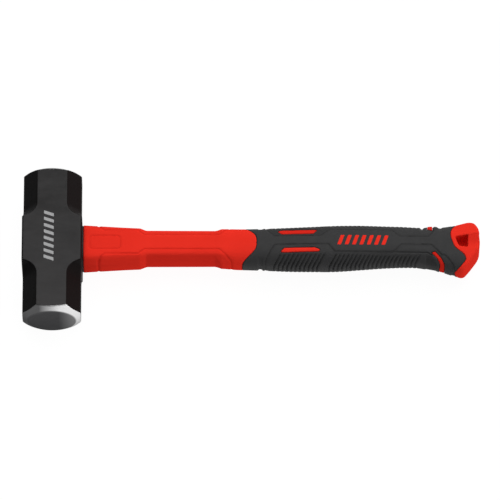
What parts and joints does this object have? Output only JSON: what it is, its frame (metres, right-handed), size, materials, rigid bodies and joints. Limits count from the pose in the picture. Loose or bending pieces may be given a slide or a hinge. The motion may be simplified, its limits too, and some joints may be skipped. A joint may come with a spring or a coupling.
{
  "type": "club hammer",
  "caption": "Double-faced club hammer with an octagonal-ended forged head bonded to a fibreglass handle that has a moulded jacket, a soft grip and a hang hole.",
  "frame": {"origin": "centre of the lower cheek of the head, in line with the eye, where the hammer lies", "axes": "+X along the handle to the butt, +Y along the head to one striking face, +Z out of the upper cheek"},
  "size_m": [0.3787, 0.1314, 0.0497],
  "materials": {
    "head_steel": "black coated forging, ground steel on the bevels and the striking faces",
    "fibreglass": "pultruded glass rod, cut end",
    "resin": "cast epoxy, slightly glossy",
    "seal_rubber": "matt",
    "jacket_plastic": "satin moulded polypropylene",
    "grip_rubber": "matt soft elastomer, fine grain"
  },
  "bodies": {
    "root": {"hammer_head": "head_steel", "fibreglass_core": "fibreglass", "eye_resin": "resin", "eye_seal": "seal_rubber", "handle_jacket": "jacket_plastic", "grip_overmould": "grip_rubber"}
  },
  "joints": []
}
